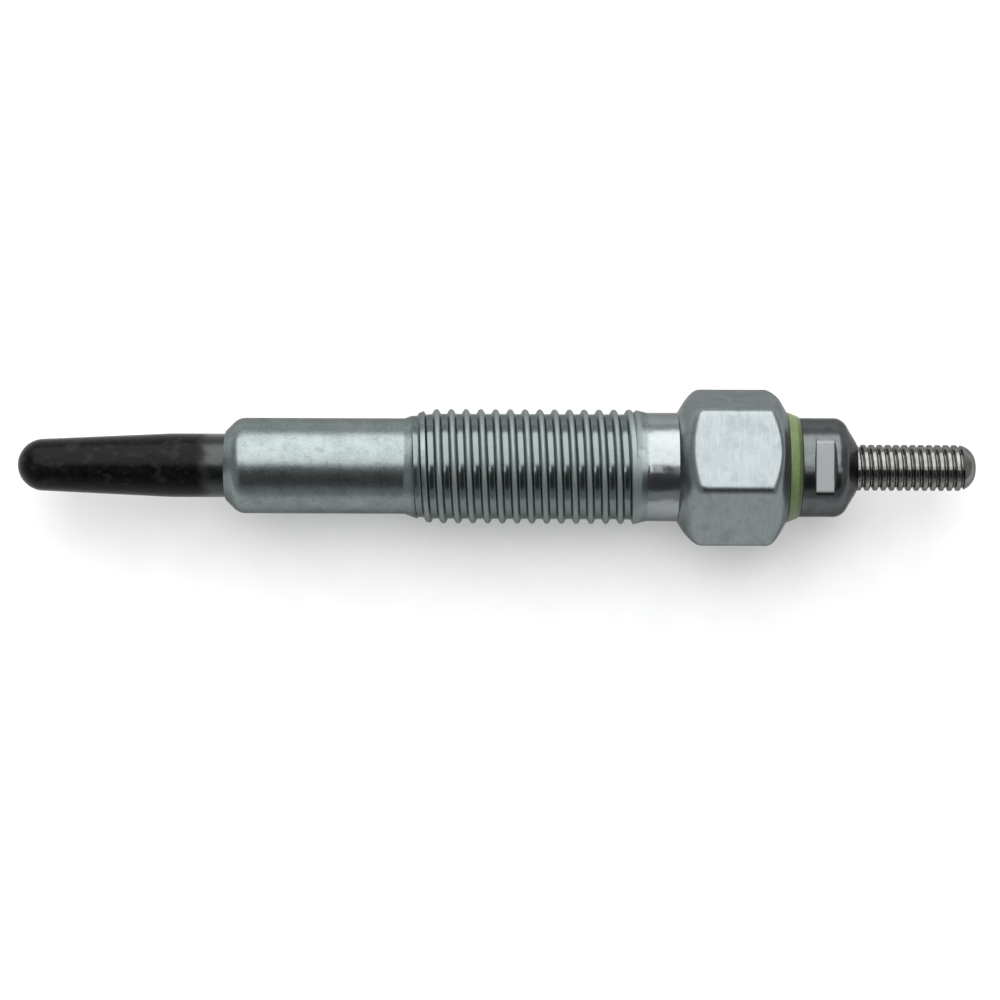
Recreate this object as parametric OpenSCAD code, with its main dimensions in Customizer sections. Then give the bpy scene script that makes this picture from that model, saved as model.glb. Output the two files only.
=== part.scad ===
// Diesel glow plug with a metal sheath, lying along X with its heater tip towards -X.
// The origin is on the axis, where the cone of the sealing face meets the plain barrel.
// Threads are drawn as plain cylinders over their crests. Lengths are in millimetres.

/* [Heater sheath] */
// Outside diameter of the sheath where it enters the housing
sheath_d = 5.4; // [5:0.05:5.8]
// Outside diameter of the swaged sheath behind its round tip
sheath_tip_d = 4.4; // [4.2:0.05:4.8]
// Length of sheath in front of the housing
sheath_reach = 17.65; // [15:0.05:24]
// Length of the parallel stretch in front of the housing, before the sheath tapers
sheath_parallel = 4.6; // [2:0.1:8]
// Wall thickness of the sheath
sheath_wall = 0.7; // [0.5:0.05:0.75]
// Thickness of the closed tip
tip_wall = 1.1; // [0.8:0.05:1.4]
// Length of sheath gripped by the press fit in the housing
press_l = 12; // [8:0.5:14]
// Length of sheath that stands clear in the bore behind the press fit
sheath_tail = 4; // [3.5:0.5:8]

/* [Housing] */
// Width of the flat land round the sheath on the front face
nose_land = 0.25; // [0.1:0.05:0.5]
// Included angle of the conical sealing face
seat_angle = 90; // [60:1:120]
// Edge radius between the sealing face and the barrel
seat_edge_r = 1.4; // [0.1:0.05:1.6]
// Diameter of the plain barrel
barrel_d = 8.1; // [7.6:0.05:8.5]
// Length of the barrel behind the sealing face
barrel_l = 13.75; // [10:0.25:30]
// Diameter over the crests of the M10 housing thread
thread_d = 9.7; // [9.6:0.01:9.98]
// Length of the tapered start of the housing thread
lead_in_l = 2.4; // [1:0.1:3]
// Length of full housing thread
thread_l = 17.3; // [10:0.1:26]
// Length over which the housing thread runs out
run_out_l = 1; // [0.5:0.1:2]
// Diameter of the plain shank between the thread and the hexagon
shank_d = 9.2; // [9:0.05:9.4]
// Length of the plain shank
shank_l = 2.6; // [1:0.1:6]

/* [Hexagon] */
// Width across the flats
hex_af = 12; // [11.5:0.1:14]
// Length of the hexagon with its cones
hex_l = 9.2; // [8:0.1:14]
// Corner radius between two flats
hex_corner_r = 0.9; // [0.2:0.05:1]
// Diameter of the end face under the bush
hex_end_d = 9.5; // [9.4:0.05:10]
// Slope of the end cones of the hexagon and the nut, measured from the end face
cone_slope = 32; // [30:1:45]
// Radius that blends an end cone into the side
shoulder_r = 1.2; // [0.5:0.1:1.6]

/* [Bores] */
// Diameter of the long bore round the rod
rod_bore_d = 6; // [5.9:0.05:6.4]
// Diameter of the counterbore for the O-ring and the bush
seal_bore_d = 6.8; // [6.6:0.05:7.4]
// Depth of that counterbore
seal_bore_depth = 6; // [4:0.1:7]

/* [Centre rod and nut] */
// Diameter of the rod
rod_d = 3.55; // [3.3:0.05:3.58]
// Diameter of the rod's front end inside the sheath
rod_front_d = 2.6; // [2.5:0.05:2.8]
// Diameter over the crests of the M4 terminal thread
stud_d = 3.9; // [3.85:0.01:3.98]
// Length of the terminal thread outside the nut
stud_l = 10.15; // [6:0.05:16]
// Radius of the domed end of the terminal
stud_end_r = 1.6; // [0.4:0.1:1.8]
// Diameter of the round nut
nut_d = 8.4; // [8:0.1:9]
// Length of the round nut
nut_l = 4.85; // [4.5:0.05:8]
// Diameter of the nut's outer end face
nut_end_d = 4.4; // [4.2:0.1:5]
// Number of crimp marks round the nut
crimp_count = 3; // [2:1:4]
// Depth of a crimp mark
crimp_depth = 0.65; // [0.2:0.05:0.7]
// Width of a crimp mark's flat floor along the nut
crimp_w = 1.5; // [0.8:0.1:1.8]
// Distance from the bush to the middle of the crimp marks
crimp_at = 1.9; // [1.6:0.05:2.1]
// Lean of a crimp mark's end walls
crimp_lean = 12; // [5:1:40]
// Turn of the crimp marks about the axis, from straight up
crimp_turn = 13; // [-45:1:45]

/* [Bush and seals] */
// Diameter of the bush flange against the hexagon
flange_d = 9.35; // [9.2:0.05:9.4]
// Diameter of the bush flange against the nut
flange_top_d = 8.6; // [8.4:0.05:9.1]
// Thickness of the bush flange
flange_t = 1.1; // [0.6:0.05:2]
// Clearance of the bush sleeve all round, in the counterbore and on the rod
bush_fit = 0.05; // [0.02:0.01:0.15]
// Thickness of the O-ring before it is squeezed between the rod and the counterbore
o_ring_t = 1.8; // [1.75:0.05:2.2]
// Length of the seal inside the mouth of the sheath
seal_l = 3; // [1.5:0.1:3.4]
// Thickness of the seal's collar on the end of the sheath
seal_collar_t = 0.6; // [0.3:0.1:1.5]

/* [Coils] */
// Insulation between the coils and the sheath at the tip
coil_gap = 0.3; // [0.25:0.05:0.4]
// Wire thickness of the heating coil
heat_wire_d = 0.35; // [0.25:0.05:0.4]
// Turns of the heating coil
heat_turns = 9; // [5:1:10]
// Rise of the heating coil in one turn
heat_pitch = 0.8; // [0.6:0.05:0.9]
// Wire thickness of the control coil
control_wire_d = 0.3; // [0.2:0.05:0.4]
// Turns of the control coil
control_turns = 14; // [8:1:16]
// Rise of the control coil in one turn
control_pitch = 0.75; // [0.55:0.05:0.85]
// Radius of the bend where the heating coil turns down to the tip
lead_bend_r = 0.35; // [0.3:0.05:0.5]
// Length of straight wire between that bend and the weld inside the tip
lead_l = 0.4; // [0.2:0.1:1]
// Turns of the control coil that grip the rod's spigot
grip_turns = 3; // [2:1:4]
// Clearance of the control coil on the spigot
coil_fit = 0.02; // [0.01:0.01:0.05]

/* [Hidden] */

// Steps drawn round a full circle and along a rounded edge
$fn = 96;
edge_steps = 6;
// How far a cut runs past the face it opens
overrun = 1;
// Slope inside the tip between the weld face and the wall of the sheath
tip_slope = 0.2;
// Difference in wire thickness between the two halves of a turn
wire_step = 0.01;

// Radii
sheath_r = sheath_d / 2;
tip_r = sheath_tip_d / 2;
cavity_r = sheath_r - sheath_wall;
cavity_tip_r = tip_r - sheath_wall;
nose_r = sheath_r + nose_land;
barrel_r = barrel_d / 2;
thread_r = thread_d / 2;
shank_r = shank_d / 2;
bore_r = rod_bore_d / 2;
seal_bore_r = seal_bore_d / 2;
rod_r = rod_d / 2;
rod_front_r = rod_front_d / 2;
stud_r = stud_d / 2;
nut_r = nut_d / 2;
hex_round_at = hex_af / 2 / cos(30) - hex_corner_r / cos(30);
hex_tip_r = hex_round_at + hex_corner_r;
coil_r = cavity_tip_r - coil_gap - heat_wire_d / 2;
spigot_r = coil_r - control_wire_d / 2 - coil_fit;

// Stations along the axis, from the sealing face towards the tip and then towards the terminal
nose_x = -(barrel_r - nose_r) / tan(seat_angle / 2);
tip_x = nose_x - sheath_reach;
taper_x = nose_x - sheath_parallel;
press_x = nose_x + press_l;
mouth_x = press_x + sheath_tail;
seal_x = mouth_x - seal_l;
step_x = mouth_x + seal_collar_t;
thread_x = barrel_l + lead_in_l;
run_out_x = thread_x + thread_l;
shank_x = run_out_x + run_out_l;
hex_x = shank_x + shank_l;
bush_x = hex_x + hex_l;
o_ring_x = bush_x - seal_bore_depth;
nut_x = bush_x + flange_t;
stud_x = nut_x + nut_l;
end_x = stud_x + stud_l;
weld_x = tip_x + tip_wall;
heat_x = weld_x + lead_l + lead_bend_r;
control_x = heat_x + heat_turns * heat_pitch;
coil_end_x = control_x + control_turns * control_pitch;
rod_front_x = coil_end_x + control_wire_d / 2;
spigot_x = coil_end_x - grip_turns * control_pitch;

// Points of an outside edge rounded between two faces whose outward normals lie at the angles from and to
function round_edge(corner, radius, from, to) =
    let (
        middle = (from + to) / 2,
        centre = corner - radius / cos((to - from) / 2) * [cos(middle), sin(middle)]
    )
    [
        for (i = [0 : edge_steps])
        let (a = from + (to - from) * i / edge_steps)
        centre + radius * [cos(a), sin(a)]
    ];

// Lays a shape made along Z down along X
module lie_down() {
    rotate([0, 90, 0])
        children();
}

// Solid of revolution from points given as radius and place along the axis
module turned(outline) {
    rotate_extrude()
        polygon(outline);
}

// Outside of the housing without its hexagon
module turned_body() {
    turned(concat(
        [[0, nose_x], [nose_r, nose_x]],
        round_edge([barrel_r, 0], seat_edge_r, -seat_angle / 2, 0),
        [[barrel_r, barrel_l], [thread_r, thread_x], [thread_r, run_out_x]],
        [[shank_r, shank_x], [shank_r, bush_x - seal_bore_depth], [0, bush_x - seal_bore_depth]]
    ));
}

// Six flats with rounded corners, one flat facing straight down
module hexagon_outline() {
    polygon([
        for (corner = [30 : 60 : 330])
        for (i = [0 : edge_steps])
        let (a = corner - 30 + 60 * i / edge_steps)
        hex_round_at * [cos(corner), sin(corner)] + hex_corner_r * [cos(a), sin(a)]
    ]);
}

// Hexagon whose corners are turned off by a cone at each end
module hexagon() {
    front_edge = hex_x + (hex_tip_r - shank_r) * tan(cone_slope);
    rear_edge = bush_x - (hex_tip_r - hex_end_d / 2) * tan(cone_slope);
    intersection() {
        translate([0, 0, hex_x])
            linear_extrude(hex_l)
                hexagon_outline();
        turned(concat(
            [[0, hex_x], [shank_r, hex_x]],
            round_edge([hex_tip_r, front_edge], shoulder_r, cone_slope - 90, 0),
            round_edge([hex_tip_r, rear_edge], shoulder_r, 0, 90 - cone_slope),
            [[hex_end_d / 2, bush_x], [0, bush_x]]
        ));
    }
}

// Press fit for the sheath, long bore round the rod, and counterbore for the O-ring and bush
module housing_bore() {
    turned([
        [0, nose_x - overrun], [sheath_r, nose_x - overrun], [sheath_r, press_x], [bore_r, press_x],
        [bore_r, o_ring_x], [seal_bore_r, o_ring_x], [seal_bore_r, bush_x + overrun], [0, bush_x + overrun]
    ]);
}

module housing() {
    color("#aeb8b7")
        lie_down()
            difference() {
                union() {
                    turned_body();
                    hexagon();
                }
                housing_bore();
            }
}

// Space inside the sheath, from the weld face in the tip to a given place along the axis
module sheath_cavity(to) {
    turned([
        [0, weld_x], [cavity_tip_r - tip_slope, weld_x], [cavity_tip_r, weld_x + tip_slope],
        [cavity_tip_r, tip_x + tip_r], [cavity_r, taper_x], [cavity_r, to], [0, to]
    ]);
}

// Closed tube, swaged down from the housing to its round tip
module heater_sheath() {
    color("#2a2b2d")
        lie_down()
            difference() {
                union() {
                    translate([0, 0, tip_x + tip_r])
                        sphere(r = tip_r);
                    turned([
                        [0, tip_x + tip_r], [tip_r, tip_x + tip_r], [sheath_r, taper_x],
                        [sheath_r, mouth_x], [0, mouth_x]
                    ]);
                }
                sheath_cavity(mouth_x + overrun);
            }
}

// Half a ring of wire
module half_ring(radius, wire_d) {
    rotate_extrude(angle = 180)
        translate([radius, 0])
            circle(d = wire_d, $fn = 24);
}

// Turns of wire: each is a level half ring and a tilted half ring that climbs to the next turn.
// The tilted half is a hair thinner, so that it ends inside the face of the level half.
module coil(wire_d, turns, pitch) {
    climb = atan2(pitch, 2 * coil_r);
    for (i = [0 : turns - 1])
        translate([0, 0, i * pitch]) {
            half_ring(coil_r, wire_d);
            translate([0, 0, pitch / 2])
                rotate([0, -climb, 0])
                    rotate([0, 0, 180])
                        half_ring(coil_r / cos(climb), wire_d - wire_step);
        }
}

// Heating turns with a bend and a straight end that stands on the weld face in the tip
module heating_wire() {
    translate([0, 0, heat_x])
        coil(heat_wire_d, heat_turns, heat_pitch);
    translate([coil_r, 0, heat_x - lead_bend_r])
        rotate([90, 0, -90])
            rotate_extrude(angle = 90)
                translate([lead_bend_r, 0])
                    circle(d = heat_wire_d, $fn = 24);
    translate([coil_r, -lead_bend_r, weld_x])
        cylinder(d = heat_wire_d, h = lead_l, $fn = 24);
}

module control_wire() {
    translate([0, 0, control_x])
        coil(control_wire_d, control_turns, control_pitch);
}

module heating_coil() {
    color("#8f8a84")
        lie_down()
            heating_wire();
}

module control_coil() {
    color("#9a9690")
        lie_down()
            control_wire();
}

// Spigot inside the coil, front end in the sheath, rod, and terminal with a domed end
module rod_body() {
    turned(concat(
        [[0, spigot_x], [spigot_r, spigot_x], [spigot_r, rod_front_x], [rod_front_r, rod_front_x]],
        [[rod_front_r, step_x], [rod_r, step_x], [rod_r, stud_x], [stud_r, stud_x]],
        round_edge([stud_r, end_x], stud_end_r, 0, 90),
        [[0, end_x]]
    ));
}

module centre_rod() {
    color("#7d7b77")
        lie_down()
            rod_body();
}

// Powder that fills the sheath up to the seal
module magnesia_fill() {
    color("#e6e2da")
        lie_down()
            difference() {
                sheath_cavity(seal_x);
                rod_body();
                heating_wire();
                control_wire();
            }
}

// Sleeve in the mouth of the sheath, with a collar between the sheath and the step of the rod
module sheath_seal() {
    color("#b5533c")
        lie_down()
            turned([
                [rod_front_r, seal_x], [cavity_r, seal_x], [cavity_r, mouth_x],
                [sheath_r, mouth_x], [sheath_r, step_x], [rod_front_r, step_x]
            ]);
}

// Ring squeezed flat where it meets the rod and the counterbore
module o_ring() {
    color("#26262a")
        lie_down()
            rotate_extrude()
                intersection() {
                    translate([(rod_r + seal_bore_r) / 2, o_ring_x + o_ring_t / 2])
                        circle(d = o_ring_t);
                    translate([rod_r, o_ring_x])
                        square([seal_bore_r - rod_r, o_ring_t]);
                }
}

// Sleeve that holds the O-ring down, and the flange that shows between the hexagon and the nut
module insulating_bush() {
    color("#7b8f55")
        lie_down()
            turned([
                [rod_r + bush_fit, o_ring_x + o_ring_t], [seal_bore_r - bush_fit, o_ring_x + o_ring_t],
                [seal_bore_r - bush_fit, bush_x], [flange_d / 2, bush_x],
                [flange_top_d / 2, nut_x], [rod_r + bush_fit, nut_x]
            ]);
}

// Tool that presses one crimp mark, with leaning end walls
module crimp_punch() {
    floor_r = nut_r - crimp_depth;
    reach = crimp_depth + overrun;
    spread = reach * tan(crimp_lean);
    translate([-floor_r, 0, nut_x + crimp_at])
        rotate([90, 0, 0])
            linear_extrude(nut_d, center = true)
                polygon([
                    [0, -crimp_w / 2], [0, crimp_w / 2],
                    [-reach, crimp_w / 2 + spread], [-reach, -crimp_w / 2 - spread]
                ]);
}

module round_nut() {
    cone_edge = stud_x - (nut_r - nut_end_d / 2) * tan(cone_slope);
    color("#6f7073")
        lie_down()
            difference() {
                turned(concat(
                    [[rod_r, nut_x], [nut_r, nut_x]],
                    round_edge([nut_r, cone_edge], shoulder_r, 0, 90 - cone_slope),
                    [[nut_end_d / 2, stud_x], [rod_r, stud_x]]
                ));
                for (i = [0 : crimp_count - 1])
                    rotate([0, 0, crimp_turn + i * 360 / crimp_count])
                        crimp_punch();
            }
}

housing();
heater_sheath();
heating_coil();
control_coil();
magnesia_fill();
sheath_seal();
centre_rod();
o_ring();
insulating_bush();
round_nut();
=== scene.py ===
import math

import bpy
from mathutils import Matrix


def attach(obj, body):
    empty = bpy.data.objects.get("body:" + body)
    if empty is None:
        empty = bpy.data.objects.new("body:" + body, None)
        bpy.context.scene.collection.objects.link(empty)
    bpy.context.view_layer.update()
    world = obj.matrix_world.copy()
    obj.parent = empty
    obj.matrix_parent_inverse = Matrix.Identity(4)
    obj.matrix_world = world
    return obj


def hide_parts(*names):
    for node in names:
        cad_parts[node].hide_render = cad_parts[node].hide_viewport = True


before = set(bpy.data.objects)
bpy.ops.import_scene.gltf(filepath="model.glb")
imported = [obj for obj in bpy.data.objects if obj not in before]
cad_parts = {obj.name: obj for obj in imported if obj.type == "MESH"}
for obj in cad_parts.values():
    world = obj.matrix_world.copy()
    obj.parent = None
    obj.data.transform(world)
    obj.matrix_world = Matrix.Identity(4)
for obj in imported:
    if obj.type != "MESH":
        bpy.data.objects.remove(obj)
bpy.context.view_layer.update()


# Heating coil and control coil
# Two coils of resistance wire inside the sheath, wound on a mandrel and welded end to end.
# The heating coil is welded into the tip, and the control coil grips the spigot of the centre rod.

mm = 0.001
cloud_low = 0.3
cloud_high = 0.7
mix_share_socket = 0
mix_first_socket = 6
mix_other_socket = 7
mix_colour_socket = 2
wire_dark = (0.26, 0.25, 0.24, 1)
wire_light = (0.42, 0.39, 0.36, 1)
wire_shiny = 0.32
wire_dull = 0.5


class Tone:
    """One output of a finish's nodes. Sums, differences and products of tones add the Math nodes."""

    def __init__(self, tree, socket):
        self.tree = tree
        self.socket = socket

    def node(self, kind, settings, inputs, output=0):
        """Adds a node, sets it up, feeds its inputs and gives one of its outputs."""
        made = self.tree.nodes.new(kind)
        for name, value in settings.items():
            setattr(made, name, value)
        for name, value in inputs.items():
            if isinstance(value, Tone):
                self.tree.links.new(value.socket, made.inputs[name])
            else:
                made.inputs[name].default_value = value
        return Tone(self.tree, made.outputs[output])

    def maths(self, operation, first, second):
        return self.node("ShaderNodeMath", {"operation": operation}, {0: first, 1: second})

    def __add__(self, other):
        return self.maths("ADD", self, other)

    def __radd__(self, other):
        return self.maths("ADD", other, self)

    def __sub__(self, other):
        return self.maths("SUBTRACT", self, other)

    def __rsub__(self, other):
        return self.maths("SUBTRACT", other, self)

    def __mul__(self, other):
        return self.maths("MULTIPLY", self, other)

    def __rmul__(self, other):
        return self.maths("MULTIPLY", other, self)

    def larger(self, other):
        return self.maths("MAXIMUM", self, other)

    def rise(self, low, high, first=0.0, last=1.0):
        """Goes smoothly from first to last as this tone goes from low to high."""
        inputs = {"Value": self, "From Min": low, "From Max": high, "To Min": first, "To Max": last}
        return self.node("ShaderNodeMapRange", {"interpolation_type": "SMOOTHSTEP"}, inputs, "Result")

    def spread(self, first=0.0, last=1.0):
        """Stretches a cloudy pattern, which keeps near its middle, from first to last."""
        return self.rise(cloud_low, cloud_high, first, last)

    def past(self, start, full):
        """0 up to a start in millimetres, and 1 from the place where it is full."""
        return self.rise(start * mm, full * mm)

    def tint(self, colour, other):
        """Gives the first colour where this tone is 0 and the other where it is 1."""
        inputs = {mix_share_socket: self, mix_first_socket: colour, mix_other_socket: other}
        return self.node("ShaderNodeMix", {"data_type": "RGBA"}, inputs, mix_colour_socket)

    def part(self, axis):
        """The part of these coordinates along one axis."""
        return self.node("ShaderNodeSeparateXYZ", {}, {"Vector": self}, axis)

    def from_axis(self):
        """The distance of these coordinates from the plug's axis."""
        across = self.node("ShaderNodeMapping", {}, {"Vector": self, "Scale": (0, 1, 1)})
        return self.node("ShaderNodeVectorMath", {"operation": "LENGTH"}, {0: across}, "Value")

    def clouds(self, size, stretch=(1, 1, 1), detail=3.0):
        """Cloudy pattern on these coordinates, with spots of a size in millimetres, drawn out by stretch."""
        scale = [1 / (size * mm * along) for along in stretch]
        spread = self.node("ShaderNodeMapping", {}, {"Vector": self, "Scale": scale})
        return self.node("ShaderNodeTexNoise", {}, {"Vector": spread, "Scale": 1.0, "Detail": detail}, "Fac")

    def relief(self, depth):
        """Turns this tone into bumps of a depth in millimetres."""
        return self.node("ShaderNodeBump", {}, {"Height": self, "Distance": depth * mm}, "Normal")

    def into(self, shader, name):
        self.tree.links.new(self.socket, shader.inputs[name])


def new_finish(name):
    """A material with its shader and the object's own coordinates."""
    finish = bpy.data.materials.new(name)
    finish.use_nodes = True
    tree = finish.node_tree
    shader = tree.nodes["Principled BSDF"]
    place = Tone(tree, None).node("ShaderNodeTexCoord", {}, {}, "Object")
    return finish, shader, place


def dress(node, finish):
    """Gives a node of the CAD model its finish."""
    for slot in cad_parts[node].material_slots:
        slot.material = finish


coil_wire, coil_shader, coil_place = new_finish("coil_wire")
wire_scale = coil_place.clouds(size=0.25)
wire_scale.spread().tint(wire_dark, wire_light).into(coil_shader, "Base Color")
wire_scale.spread(wire_shiny, wire_dull).into(coil_shader, "Roughness")
coil_shader.inputs["Metallic"].default_value = 1.0
dress("heating_coil", coil_wire)
dress("control_coil", coil_wire)


# Centre rod
# A steel rod that carries the current from the terminal to the coils. Its spigot and front end are
# turned, and an M4 thread is rolled on the terminal, up to its domed end.

rod_spigot = (-1.45, 0.855)
rod_front = (0.95, 1.3)
rod_step = (15.5, 1.775)
stud_start = 52.2
stud_end = 62.35
stud_r = 1.95
stud_dome_r = 1.6
stud_dome_rows = 10
stud_pitch = 0.7
stud_turns = 16
stud_groove_before = 0.45
stud_root_r = 1.65
stud_half_root = 0.03
stud_half_groove = 0.24
stud_steps = 96
flank_lean = 30
root_softness = 0.15
crest_gap = 5
crest_rows = 6
merge_gap = 1e-7
smooth_angle = math.radians(32)
rod_dark = (0.155, 0.153, 0.146, 1)
rod_light = (0.215, 0.212, 0.203, 1)
rod_dullness = 0.11
rod_spot_dullness = 0.1
rod_grain_dullness = 0.05
grazing_tint = (0.5, 0.5, 0.5, 1)


def arc(centre, radius, start, stop, steps):
    """Points along a rounded edge of an outline. Angles are in degrees from the outward radius."""
    angles = [math.radians(start + (stop - start) * i / steps) for i in range(steps + 1)]
    return [(centre[0] + radius * math.sin(a), centre[1] + radius * math.cos(a)) for a in angles]


def draw(name, outline):
    """Starts a piece as a line through points given as place along the axis and radius, in millimetres."""
    bpy.ops.object.select_all(action="DESELECT")
    bpy.ops.mesh.primitive_plane_add(size=mm)
    piece = bpy.context.object
    piece.name = name
    bpy.ops.object.mode_set(mode="EDIT")
    bpy.ops.mesh.merge(type="CENTER")
    bpy.ops.transform.translate(value=(outline[0][0] * mm, outline[0][1] * mm, 0))
    for here, there in zip(outline, outline[1:]):
        step = ((there[0] - here[0]) * mm, (there[1] - here[1]) * mm, 0)
        bpy.ops.mesh.extrude_region_move(TRANSFORM_OT_translate={"value": step})
    bpy.ops.object.mode_set(mode="OBJECT")
    return piece


def close_up():
    """Merges the seams of the mesh in edit mode and turns its faces outwards."""
    bpy.ops.mesh.select_all(action="SELECT")
    bpy.ops.mesh.remove_doubles(threshold=merge_gap)
    bpy.ops.mesh.normals_make_consistent(inside=False)


def turn(name, outline, steps):
    """Spins an outline round the axis of the plug."""
    piece = draw(name, outline)
    bpy.ops.object.mode_set(mode="EDIT")
    bpy.ops.mesh.select_all(action="SELECT")
    bpy.ops.mesh.spin(steps=steps, angle=math.tau, center=(0, 0, 0), axis=(1, 0, 0))
    close_up()
    bpy.ops.object.mode_set(mode="OBJECT")
    return piece


def thread_groove(root_r, half_root, crest_r, half_width):
    """Half a thread groove's section: a flat root, a leaning flank and a rounded crest edge."""
    flank = math.radians(flank_lean)
    beside_flank = (half_width - half_root) * math.cos(flank) - (crest_r - root_r) * math.sin(flank)
    crest_round = beside_flank / (1 - math.sin(flank))
    crest_centre = (half_width, crest_r - crest_round)
    root_soft = half_root * root_softness
    clear = crest_r + half_width / 2
    crest = arc(crest_centre, crest_round, flank_lean - 90, -crest_gap, crest_rows)
    return [
        (half_root - root_soft, root_r),
        (half_root + root_soft * math.sin(flank), root_r + root_soft * math.cos(flank)),
        *crest,
        (crest[-1][0], clear),
    ]


def groove_cutter(groove, start, turns, pitch, steps):
    """A bar with the section of the groove, wound round the axis from a place in the plane of +Y."""
    front = [(start - along, radius) for along, radius in groove]
    back = [(start + along, radius) for along, radius in reversed(groove)]
    cutter = draw("groove_cutter", front + back + front[:1])
    bpy.ops.object.mode_set(mode="EDIT")
    bpy.ops.mesh.select_all(action="SELECT")
    bpy.ops.mesh.remove_doubles(threshold=merge_gap)
    bpy.ops.object.mode_set(mode="OBJECT")
    bpy.ops.object.modifier_add(type="SCREW")
    wind = cutter.modifiers[-1]
    wind.axis = "X"
    wind.screw_offset = pitch * mm
    wind.iterations = turns
    wind.steps = steps
    wind.render_steps = steps
    bpy.ops.object.modifier_apply(modifier=wind.name)
    bpy.ops.object.mode_set(mode="EDIT")
    bpy.ops.mesh.select_all(action="SELECT")
    bpy.ops.mesh.fill_holes(sides=0)
    close_up()
    bpy.ops.object.mode_set(mode="OBJECT")
    return cutter


def pick(piece):
    """Selects one piece alone."""
    bpy.ops.object.select_all(action="DESELECT")
    piece.select_set(True)
    bpy.context.view_layer.objects.active = piece


def cut(piece, cutter):
    """Takes the cutter's shape out of a piece, and the cutter out of the scene."""
    pick(piece)
    bpy.ops.object.modifier_add(type="BOOLEAN")
    knife = piece.modifiers[-1]
    knife.operation = "DIFFERENCE"
    knife.solver = "EXACT"
    knife.object = cutter
    bpy.ops.object.modifier_apply(modifier=knife.name)
    bpy.data.objects.remove(cutter)


def finish_piece(piece, node, finish):
    """Smooths a new piece, gives it its finish and puts it in the place of a CAD node."""
    pick(piece)
    bpy.ops.object.shade_smooth_by_angle(angle=smooth_angle)
    piece.data.materials.clear()
    piece.data.materials.append(finish)
    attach(piece, "root")
    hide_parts(node)


dome_centre = (stud_end - stud_dome_r, stud_r - stud_dome_r)
rod_outline = [
    (rod_spigot[0], 0),
    rod_spigot,
    (rod_front[0], rod_spigot[1]),
    rod_front,
    (rod_step[0], rod_front[1]),
    rod_step,
    (stud_start, rod_step[1]),
    (stud_start, stud_r),
    *arc(dome_centre, stud_dome_r, 0, 90, stud_dome_rows),
    (stud_end, 0),
]
rod = turn("terminal_rod", rod_outline, stud_steps)
stud_groove = thread_groove(stud_root_r, stud_half_root, stud_r, stud_half_groove)
cut(rod, groove_cutter(stud_groove, stud_start - stud_groove_before, stud_turns, stud_pitch, stud_steps))

rod_steel, rod_shader, rod_place = new_finish("rod_steel")
rod_spots = rod_place.clouds(size=0.5)
rod_grain = rod_place.clouds(size=0.12, stretch=(6, 1, 1))
rod_spots.rise(low=0.35, high=0.7).tint(rod_dark, rod_light).into(rod_shader, "Base Color")
dullness = rod_dullness + rod_spot_dullness * rod_spots + rod_grain_dullness * rod_grain
dullness.into(rod_shader, "Roughness")
rod_grain.relief(depth=0.004).into(rod_shader, "Normal")
rod_shader.inputs["Specular Tint"].default_value = grazing_tint
rod_shader.inputs["Metallic"].default_value = 1.0
finish_piece(rod, "centre_rod", rod_steel)


# Magnesia fill
# White magnesium oxide powder, poured round the coils and pressed hard as the sheath is swaged.

powder_grey = (0.66, 0.64, 0.59, 1)
powder_white = (0.82, 0.80, 0.76, 1)

magnesia, magnesia_shader, magnesia_place = new_finish("magnesia")
powder = magnesia_place.clouds(size=0.12, detail=5.0)
powder.spread().tint(powder_grey, powder_white).into(magnesia_shader, "Base Color")
powder.rise(low=0.2, high=0.8, first=0.85, last=1.0).into(magnesia_shader, "Roughness")
powder.relief(depth=0.03).into(magnesia_shader, "Normal")
dress("magnesia_fill", magnesia)


# Sheath seal
# A moulded rubber sleeve in the mouth of the sheath, which keeps the powder dry.

seal_dark = (0.32, 0.07, 0.04, 1)
seal_light = (0.42, 0.11, 0.06, 1)

seal_rubber, seal_shader, seal_place = new_finish("seal_rubber")
seal_spots = seal_place.clouds(size=0.6)
seal_spots.spread().tint(seal_dark, seal_light).into(seal_shader, "Base Color")
seal_spots.spread(first=0.5, last=0.65).into(seal_shader, "Roughness")
dress("sheath_seal", seal_rubber)


# Heater sheath
# A closed tube of heat-proof alloy, swaged to a taper towards its round tip and dark with oxide.
# The stretch next to the housing is left polished by the press fit.

sheath_tip = -18.75
sheath_tip_r = 2.2
sheath_tip_rows = 18
sheath_taper_end = -5.7
sheath_r = 2.7
sheath_mouth = 14.9
sheath_bore_r = 2.0
tip_bore_r = 1.5
weld_face = -17.65
weld_slope = 0.2
sheath_steps = 128
oxide_black = (0.0018, 0.0018, 0.0021, 1)
oxide_dark = (0.005, 0.0047, 0.0054, 1)
oxide_patch = (0.014, 0.0145, 0.0155, 1)
oxide_speck = (0.024, 0.024, 0.025, 1)
bare_alloy = (0.046, 0.048, 0.048, 1)
patch_share = 0.7
polish_start = -2.8
polish_full = -1.2
polish_waver = 1.6
oxide_dullness = 0.2
oxide_spot_dullness = 0.18
lump_height = 1.6
oxide_reflection = 0.085

sheath_outline = [
    *arc((sheath_tip + sheath_tip_r, 0), sheath_tip_r, -90, 0, sheath_tip_rows),
    (sheath_taper_end, sheath_r),
    (sheath_mouth, sheath_r),
    (sheath_mouth, sheath_bore_r),
    (sheath_taper_end, sheath_bore_r),
    (sheath_tip + sheath_tip_r, tip_bore_r),
    (weld_face + weld_slope, tip_bore_r),
    (weld_face, tip_bore_r - weld_slope),
    (weld_face, 0),
]
sheath = turn("heater_tube", sheath_outline, sheath_steps)

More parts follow.
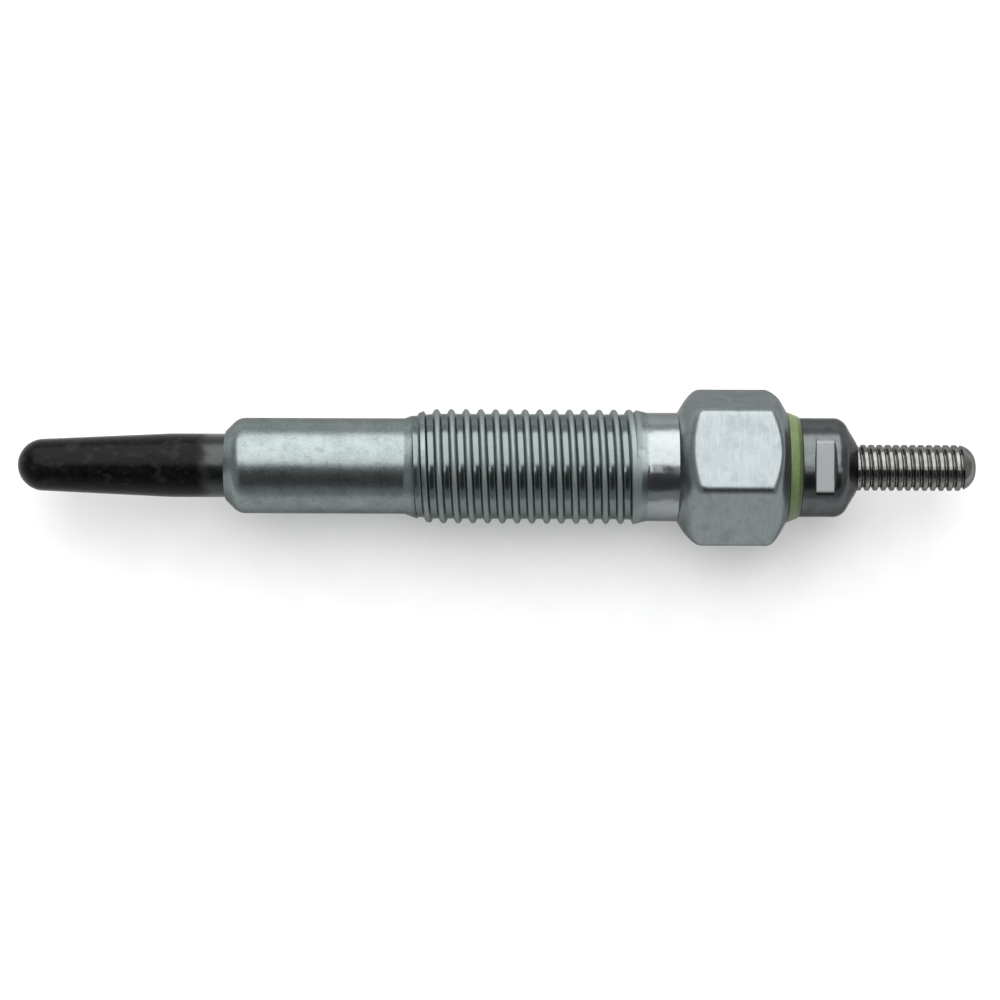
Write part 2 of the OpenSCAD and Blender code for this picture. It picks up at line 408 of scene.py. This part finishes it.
sheath_alloy, sheath_shader, sheath_place = new_finish("sheath_alloy")
oxide_edge = sheath_place.clouds(size=1.2)
oxide_spots = sheath_place.clouds(size=0.45, detail=4.0)
oxide_lumps = sheath_place.clouds(size=1.1, detail=2.0)
scale_patches = sheath_place.clouds(size=0.9, stretch=(1.6, 1, 1), detail=4.0)
specks = sheath_place.clouds(size=0.22, detail=1.0).rise(low=0.72, high=0.78)
polish = (sheath_place.part("X") + polish_waver * mm * oxide_edge).past(polish_start, polish_full)
oxide = oxide_spots.spread().tint(oxide_black, oxide_dark)
oxide = (patch_share * scale_patches.rise(low=0.54, high=0.66)).tint(oxide, oxide_patch)
oxide = specks.tint(oxide, oxide_speck)
polish.tint(oxide, bare_alloy).into(sheath_shader, "Base Color")
polish.into(sheath_shader, "Metallic")
(oxide_dullness + oxide_spot_dullness * oxide_spots).into(sheath_shader, "Roughness")
(oxide_spots + lump_height * oxide_lumps).relief(depth=0.01).into(sheath_shader, "Normal")
sheath_shader.inputs["Specular IOR Level"].default_value = oxide_reflection
finish_piece(sheath, "heater_sheath", sheath_alloy)


# Housing
# One piece of steel, cold forged with its hexagon, bored, turned and zinc plated. The sheath is pressed
# into its front end. The M10 thread is rolled, with a tapered start and a run-out before the shank.

nose_face = -1.1
nose_r = 2.95
seat_edge_r = 1.4
seat_lean = 45
seat_rows = 12
barrel_r = 4.05
barrel_end = 14.0
barrel_edge = [(-0.15, 0), (-0.05, 0), (0.05, 0.015), (0.15, 0.049)]
lead_in_cone_end = (15.5, 4.63)
lead_in_curve = [(15.8, 4.715), (16.2, 4.79), (16.6, 4.835)]
lead_in_end = 17.0
thread_end = 33.45
thread_r = 4.85
thread_root_r = 4.45
thread_half_root = 0.25
thread_pitch = 1.25
thread_turns = 17
thread_turns_before = 2
crest_facing_camera = 15.75
camera_side = 103.1
sink_depth = 0.2
sink_start = 14.35
sink_end = 16.75
run_out_lift = 0.8
run_out_start = 32.95
run_out_end = 34.35
shank_start = 34.45
shank_r = 4.6
shank_rows = 6
hex_sides = 6
hex_start = 37.05
hex_end = 46.25
hex_flat_r = 6.0
hex_corner_r = 0.9
hex_end_r = 4.75
hex_front_rise = 1.6
hex_rear_rise = 1.73
hex_front_blend = 1.1
hex_rear_blend = 0.4
hex_corner_blend = 0.75
cone_rows = 32
corner_crowding = 0.6
seal_bore_r = 3.4
seal_bore_start = 40.25
rod_bore_r = 3.0
press_end = 10.9
housing_steps = 192
edge_gap = 0.01
zinc_dark = (0.15, 0.178, 0.175, 1)
zinc_light = (0.194, 0.222, 0.219, 1)
zinc_blotch = (0.105, 0.13, 0.127, 1)
zinc_spot = (0.229, 0.26, 0.257, 1)
hexagon_dark = (0.2, 0.218, 0.228, 1)
hexagon_light = (0.238, 0.257, 0.267, 1)
hexagon_stain = (0.125, 0.155, 0.153, 1)
shank_bright = (0.27, 0.28, 0.29, 1)
# Painted shade: a darker zinc colour for the thread grooves, standing in for the shade inside them.
groove_painted_shade = (0.125, 0.148, 0.146, 1)
# Painted highlight: a lighter zinc colour for the crests of the thread, standing in for the light they
# catch.
crest_painted_highlight = (0.225, 0.256, 0.254, 1)
blotch_share = 0.45
spot_share = 0.4
hexagon_share = 0.7
stain_share = 0.4
shank_share = 0.6
groove_shade_share = 0.9
zinc_dullness = 0.19
blotch_dullness = 0.14
spot_dullness = 0.08
crest_dullness = 0.24
shank_gloss = 0.1
groove_gloss = 0.1
blotch_height = 0.4
spot_height = 0.08
scratch_height = 0.16
ripple_height = 0.8
shank_ripple_height = 6.0


def fade_in(value, low, high):
    """0 below low, 1 above high, and a smooth curve between them."""
    share = min(max((value - low) / (high - low), 0), 1)
    return share * share * (3 - 2 * share)


def soft_least(first, second, blend):
    """The smaller of two radii, with the edge where they meet rounded over a blend."""
    near = max(blend - abs(first - second), 0) / blend
    return min(first, second) - near * near * blend / 4


def hexagon_radius(angle):
    """Radius of the hexagon with its rounded corners, at an angle from +Y."""
    half = math.pi / hex_sides
    off = abs(angle % (2 * half) - half)
    round_at = (hex_flat_r - hex_corner_r) / math.cos(half)
    if math.tan(off) * hex_flat_r < round_at * math.sin(half):
        return hex_flat_r / math.cos(off)
    turned = half - off
    return round_at * math.cos(turned) + math.sqrt(hex_corner_r ** 2 - (round_at * math.sin(turned)) ** 2)


def where(vertex):
    """A point's place along the axis and radius in millimetres, and its angle from +Y."""
    across = vertex.co.y
    up = vertex.co.z
    return vertex.co.x / mm, math.hypot(across, up) / mm, math.atan2(up, across)


def move_out(vertex, radius, angle):
    """Puts a point at a radius in millimetres and an angle from +Y."""
    vertex.co.y = radius * mm * math.cos(angle)
    vertex.co.z = radius * mm * math.sin(angle)


cone_top = hex_flat_r / math.cos(math.pi / hex_sides) + hex_front_blend
front_cone = [shank_r + (cone_top - shank_r) * i / cone_rows for i in range(1, cone_rows + 1)]
rear_cone = [cone_top + (hex_end_r - cone_top) * i / cone_rows for i in range(cone_rows + 1)]
shank_length = hex_start - shank_start
seat_arc_back = seat_edge_r * math.tan(math.radians(seat_lean / 2))
housing_outline = [
    (nose_face, sheath_r),
    (nose_face, nose_r),
    *arc((seat_arc_back, barrel_r - seat_edge_r), seat_edge_r, -seat_lean, 0, seat_rows),
    *[(barrel_end + along, barrel_r + out) for along, out in barrel_edge],
    lead_in_cone_end,
    *lead_in_curve,
    (lead_in_end, thread_r),
    (thread_end, thread_r),
    (shank_start, shank_r),
    *[(shank_start + shank_length * i / shank_rows, shank_r) for i in range(1, shank_rows + 1)],
    *[(hex_start + (radius - shank_r) / hex_front_rise, radius) for radius in front_cone],
    *[(hex_end - (radius - hex_end_r) / hex_rear_rise, radius) for radius in rear_cone],
    (hex_end, seal_bore_r),
    (seal_bore_start, seal_bore_r),
    (seal_bore_start, rod_bore_r),
    (press_end, rod_bore_r),
    (press_end, sheath_r),
    (nose_face, sheath_r),
]
housing = turn("plug_housing", housing_outline, housing_steps)

for vertex in housing.data.vertices:
    along, radius, angle = where(vertex)
    if along > shank_start and radius > shank_r - edge_gap:
        crowding = corner_crowding * fade_in(along, shank_start, hex_start)
        angle -= crowding * math.sin(hex_sides * angle) / hex_sides
        if along > hex_start + edge_gap:
            flat_radius = hexagon_radius(angle)
            blend = hex_front_blend
            if along > (hex_start + hex_end) / 2:
                blend = hex_rear_blend + hex_corner_blend * (flat_radius - hex_flat_r)
            radius = soft_least(radius, flat_radius, blend)
        move_out(vertex, radius, angle)

housing_groove = thread_groove(thread_root_r, thread_half_root, thread_r, thread_pitch / 2)
groove_facing_camera = crest_facing_camera + thread_pitch / 2
groove_start = groove_facing_camera - thread_pitch * (camera_side / 360 + thread_turns_before)
thread_cutter = groove_cutter(housing_groove, groove_start, thread_turns, thread_pitch, housing_steps)
for vertex in thread_cutter.data.vertices:
    along, radius, angle = where(vertex)
    lift = run_out_lift * fade_in(along, run_out_start, run_out_end)
    lift -= sink_depth * (1 - fade_in(along, sink_start, sink_end))
    move_out(vertex, radius + lift, angle)
cut(housing, thread_cutter)

plated_steel, plated_shader, plated_place = new_finish("plated_steel")
plated_along = plated_place.part("X")
plated_out = plated_place.from_axis()
patches = plated_place.clouds(size=1.6)
blotches = plated_place.clouds(size=0.55, detail=4.0)
fine_spots = plated_place.clouds(size=0.2, detail=2.0)
ripples = plated_place.clouds(size=1.8, detail=1.0)
scratches = plated_place.clouds(size=0.13, stretch=(1, 11, 11), detail=2.0)
stains = plated_place.clouds(size=1.3, detail=5.0)
on_thread = plated_along.past(start=14.5, full=14.8) * (1 - plated_along.past(start=33.8, full=34.2))
on_crest = on_thread * plated_out.past(start=4.68, full=4.78)
in_groove = on_thread * (1 - plated_out.past(start=4.52, full=4.64))
on_shank = plated_along.past(start=34.3, full=34.6) * (1 - plated_along.past(start=37.1, full=37.6))
on_hexagon = plated_along.past(start=37.5, full=38.5)
plating = patches.spread().tint(zinc_dark, zinc_light)
plating = (blotch_share * blotches.rise(low=0.5, high=0.72)).tint(plating, zinc_blotch)
plating = (spot_share * fine_spots.rise(low=0.45, high=0.65)).tint(plating, zinc_spot)
hexagon_tone = scratches.rise(low=0.35, high=0.7).tint(hexagon_dark, hexagon_light)
plating = (hexagon_share * on_hexagon).tint(plating, hexagon_tone)
plating = (stain_share * on_hexagon * stains.rise(low=0.5, high=0.66)).tint(plating, hexagon_stain)
plating = (shank_share * on_shank).tint(plating, shank_bright)
# Painted shade: the grooves of the thread are painted darker, for the shade in the recesses.
plating = (groove_shade_share * in_groove).tint(plating, groove_painted_shade)
# Painted highlight: the crests of the thread are painted lighter, for the light that falls on them.
plating = on_crest.tint(plating, crest_painted_highlight)
plating.into(plated_shader, "Base Color")
dullness = zinc_dullness + blotch_dullness * blotches + spot_dullness * fine_spots
dullness = dullness - shank_gloss * on_shank - groove_gloss * in_groove + crest_dullness * on_crest
dullness.into(plated_shader, "Roughness")
unevenness = blotch_height * blotches + spot_height * fine_spots + scratch_height * on_hexagon * scratches
unevenness = unevenness + (ripple_height + shank_ripple_height * on_shank) * ripples
unevenness.relief(depth=0.012).into(plated_shader, "Normal")
plated_shader.inputs["Specular Tint"].default_value = grazing_tint
plated_shader.inputs["Metallic"].default_value = 1.0
finish_piece(housing, "housing", plated_steel)


# O-ring
# A black rubber ring in the counterbore, squeezed between the rod and the housing.

ring_black = (0.012, 0.012, 0.013, 1)
ring_dark = (0.02, 0.02, 0.022, 1)

o_ring_rubber, o_ring_shader, o_ring_place = new_finish("o_ring_rubber")
o_ring_spots = o_ring_place.clouds(size=0.4)
o_ring_spots.spread().tint(ring_black, ring_dark).into(o_ring_shader, "Base Color")
o_ring_spots.spread(first=0.45, last=0.6).into(o_ring_shader, "Roughness")
dress("o_ring", o_ring_rubber)


# Insulating bush
# A moulded plastic bush, olive green. Its sleeve holds the O-ring down in the counterbore, and its
# flange keeps the round nut away from the hexagon.

bush_sleeve_start = 42.05
bush_bore_r = 1.825
bush_sleeve_r = 3.35
flange_r = 4.675
flange_round = 0.12
flange_lean = 15
flange_rows = 6
flange_taper_end = (47.02, 4.42)
flange_nut_curve = [(47.14, 4.375), (47.25, 4.31)]
flange_nut_side = 47.35
flange_nut_r = 4.22
bush_steps = 128
green_dark = (0.092, 0.136, 0.043, 1)
green_light = (0.12, 0.168, 0.06, 1)
# Painted shade: a darker green for the flange next to the round nut, standing in for the shade in the gap
# between bush and nut.
green_painted_shade = (0.035, 0.055, 0.015, 1)
painted_shade_share = 0.9
green_dullness = 0.36
grain_dullness = 0.12

bush_outline = [
    (bush_sleeve_start, bush_bore_r),
    (bush_sleeve_start, bush_sleeve_r),
    (hex_end, bush_sleeve_r),
    *arc((hex_end + flange_round, flange_r - flange_round), flange_round, -90, flange_lean, flange_rows),
    flange_taper_end,
    *flange_nut_curve,
    (flange_nut_side, flange_nut_r),
    (flange_nut_side, bush_bore_r),
    (bush_sleeve_start, bush_bore_r),
]
bush = turn("green_bush", bush_outline, bush_steps)

green_plastic, green_shader, green_place = new_finish("green_plastic")
green_spots = green_place.clouds(size=0.5)
mould_grain = green_place.clouds(size=0.08, detail=2.0)
# Painted shade: the flange turns darker green towards the round nut, where shade falls between the bush and
# the nut.
shade_by_nut = green_place.part("X").past(start=46.9, full=47.15)
green = green_spots.spread().tint(green_dark, green_light)
(painted_shade_share * shade_by_nut).tint(green, green_painted_shade).into(green_shader, "Base Color")
(green_dullness + grain_dullness * mould_grain).into(green_shader, "Roughness")
mould_grain.relief(depth=0.006).into(green_shader, "Normal")
finish_piece(bush, "insulating_bush", green_plastic)


# Round nut
# A turned steel nut that clamps the bush on the rod. Three marks of the crimping tool hold it there.

nut_start = 47.35
nut_bore_r = 1.775
nut_r = 4.2
nut_end_r = 2.2
nut_end_edge = [(-0.06, 0.07), (-0.02, 0.01), (0, -0.05)]
nut_edge_round = 0.12
nut_edge_rows = 4
nut_shoulder_r = 1.2
nut_shoulder_rows = 16
cone_lean = 32
crimp_middle = 49.25
crimp_floor_r = 3.55
crimp_half_width = 0.75
crimp_wall_rise = 4.0
crimp_blend = 0.14
crimp_facing = 103
crimp_step = 120
nut_steps = 288
nut_rows = 84
nut_dark = (0.074, 0.079, 0.081, 1)
nut_light = (0.094, 0.1, 0.101, 1)
crimp_bright = (0.225, 0.233, 0.234, 1)
nut_dullness = 0.14
nut_spot_dullness = 0.1
nut_grain_dullness = 0.06
crimp_dullness = 0.16
nut_spot_height = 0.6

cone_edge = stud_start - (nut_r - nut_end_r) * math.tan(math.radians(cone_lean))
shoulder_back = nut_shoulder_r * math.tan(math.radians((90 - cone_lean) / 2))
side_start = nut_start + nut_edge_round
side_end = cone_edge - shoulder_back
nut_outline = [
    (nut_start, nut_bore_r),
    *arc((side_start, nut_r - nut_edge_round), nut_edge_round, -90, 0, nut_edge_rows),
    *[(side_start + (side_end - side_start) * i / nut_rows, nut_r) for i in range(1, nut_rows)],
    *arc((side_end, nut_r - nut_shoulder_r), nut_shoulder_r, 0, 90 - cone_lean, nut_shoulder_rows),
    *[(stud_start + along, nut_end_r + out) for along, out in nut_end_edge],
    (stud_start, nut_bore_r),
    (nut_start, nut_bore_r),
]
nut = turn("crimped_nut", nut_outline, nut_steps)

for vertex in nut.data.vertices:
    along, radius, angle = where(vertex)
    if radius > crimp_floor_r - crimp_blend and along > nut_start:
        from_mark = (math.degrees(angle) - crimp_facing + crimp_step / 2) % crimp_step - crimp_step / 2
        past_floor = max(abs(along - crimp_middle) - crimp_half_width, 0)
        pressed = (crimp_floor_r + past_floor * crimp_wall_rise) / math.cos(math.radians(from_mark))
        move_out(vertex, soft_least(radius, pressed, crimp_blend), angle)

nut_steel, nut_shader, nut_place = new_finish("nut_steel")
nut_along = nut_place.part("X")
nut_spots = nut_place.clouds(size=0.7)
nut_grain = nut_place.clouds(size=0.08, stretch=(1, 8, 8), detail=2.0)
by_crimp = nut_along.past(start=48.2, full=48.4) * (1 - nut_along.past(start=50.1, full=50.3))
in_crimp = by_crimp * (1 - nut_place.from_axis().past(start=4.08, full=4.19))
nut_tone = nut_spots.spread().tint(nut_dark, nut_light)
in_crimp.tint(nut_tone, crimp_bright).into(nut_shader, "Base Color")
dullness = nut_dullness + nut_spot_dullness * nut_spots + nut_grain_dullness * nut_grain
(dullness + crimp_dullness * in_crimp).into(nut_shader, "Roughness")
(nut_grain + nut_spot_height * nut_spots).relief(depth=0.004).into(nut_shader, "Normal")
nut_shader.inputs["Specular Tint"].default_value = grazing_tint
nut_shader.inputs["Metallic"].default_value = 1.0
finish_piece(nut, "round_nut", nut_steel)


# Studio
# The plug lies on a flat of its hexagon, on a pale sheet, under one large soft light above its far side
# and a narrow one beyond its terminal. The camera looks down on it, square to its axis.

sheet_size = 4000
sheet_middle = 22
sheet_level = -6.0
paper_grey = (0.56, 0.56, 0.56, 1)
paper_pale = (0.58, 0.58, 0.58, 1)
paper_glow = (1, 1, 1, 1)
paper_fill = 0.32
light_distance = 450
light_level = 2.75
wall_grey = (0.5, 0.51, 0.52, 1)
wall_pale = (0.86, 0.87, 0.88, 1)
wall_dark = (0.08, 0.08, 0.082, 1)
camera_tilt = math.radians(13.1)
camera_roll = math.radians(0.21)
camera_distance = 223
camera_lens = 94.7
camera_sensor = 36
nearest_seen = 10
aim_along = 22.1
aim_below = 2.85

bpy.ops.object.select_all(action="DESELECT")
bpy.ops.mesh.primitive_plane_add(size=sheet_size * mm, location=(sheet_middle * mm, 0, sheet_level * mm))
floor = bpy.context.object
floor.name = "pale_sheet"
pale_paper, paper_shader, paper_place = new_finish("pale_paper")
paper_place.clouds(size=3.0).spread().tint(paper_grey, paper_pale).into(paper_shader, "Base Color")
paper_shader.inputs["Roughness"].default_value = 1.0
paper_shader.inputs["Specular IOR Level"].default_value = 0.0
paper_shader.inputs["Emission Color"].default_value = paper_glow
seen = paper_place.node("ShaderNodeLightPath", {}, {}, "Is Camera Ray")
mirrored = paper_place.node("ShaderNodeLightPath", {}, {}, "Is Glossy Ray")
through = paper_place.node("ShaderNodeLightPath", {}, {}, "Is Transmission Ray")
(paper_fill * seen.larger(mirrored).larger(through)).into(paper_shader, "Emission Strength")
floor.data.materials.append(pale_paper)


def add_light(name, along, lean, length, width):
    """A soft light over a place along the plug, leaning from straight above and turned to the plug."""
    lean = math.radians(lean)
    place = (along * mm, light_distance * mm * math.sin(lean), light_distance * mm * math.cos(lean))
    bpy.ops.object.light_add(type="AREA", location=place)
    light = bpy.context.object
    light.name = name
    light.rotation_euler = (-lean, 0, 0)
    light.data.shape = "RECTANGLE"
    light.data.size = length * mm
    light.data.size_y = width * mm
    light.data.energy = light_level * math.pi * light.data.size * light.data.size_y


add_light("soft_light", along=-50, lean=28.2, length=640, width=740)
add_light("side_light", along=235, lean=-18.3, length=300, width=74)

room = bpy.data.worlds.new("room")
bpy.context.scene.world = room
room.use_nodes = True
room_shader = room.node_tree.nodes["Background"]
towards = Tone(room.node_tree, None).node("ShaderNodeTexCoord", {}, {}, "Generated")
aside = towards.part("X")
ahead = towards.part("Y")
near_side = 1 - ahead.rise(low=-0.3, high=0.0)
middle = 1 - (aside * aside).rise(low=0.06, high=0.4)
dark_side = near_side * middle * towards.part("Z").rise(low=0.33, high=0.45)
wall = ahead.rise(low=0.2, high=0.7).tint(wall_grey, wall_pale)
dark_side.tint(wall, wall_dark).into(room_shader, "Color")

camera_y = -camera_distance * math.sin(camera_tilt) - aim_below * math.cos(camera_tilt)
camera_z = camera_distance * math.cos(camera_tilt) - aim_below * math.sin(camera_tilt)
camera_place = (aim_along * mm, camera_y * mm, camera_z * mm)
bpy.ops.object.camera_add(location=camera_place, rotation=(camera_tilt, 0, 0))
camera = bpy.context.object
camera.rotation_euler.rotate_axis("Z", camera_roll)
camera.data.lens = camera_lens
camera.data.sensor_width = camera_sensor
camera.data.clip_start = nearest_seen * mm
bpy.context.scene.camera = camera
bpy.context.scene.view_settings.view_transform = "Standard"
